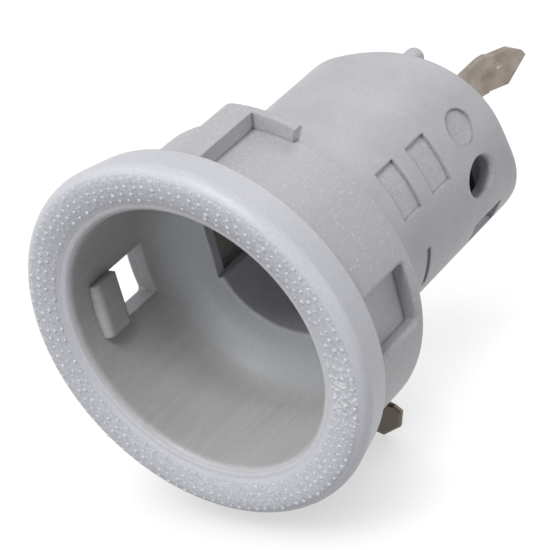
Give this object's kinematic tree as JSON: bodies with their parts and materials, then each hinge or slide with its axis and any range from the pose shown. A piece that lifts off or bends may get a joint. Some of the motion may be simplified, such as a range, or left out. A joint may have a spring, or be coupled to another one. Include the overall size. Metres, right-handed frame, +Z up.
{
  "type": "lamp holder",
  "caption": "Recessed cup-shaped lamp holder for a small screw-cap lamp, with a round flange, a barrel and two flat tab terminals, made to sit in a round panel cut-out.",
  "frame": {"origin": "on the cup's axis, in the plane of the flange's rear edge, which sits on the panel", "axes": "+Y along the axis from the open cup to the terminals, +Z up, +X to the side of the blind pocket"},
  "size_m": [0.0424, 0.058, 0.0442],
  "materials": {
    "housing": "matt grey moulding",
    "contact": "tinned strip"
  },
  "bodies": {
    "root": {"housing": "housing", "centre_contact": "contact", "side_contact": "contact"}
  },
  "joints": []
}
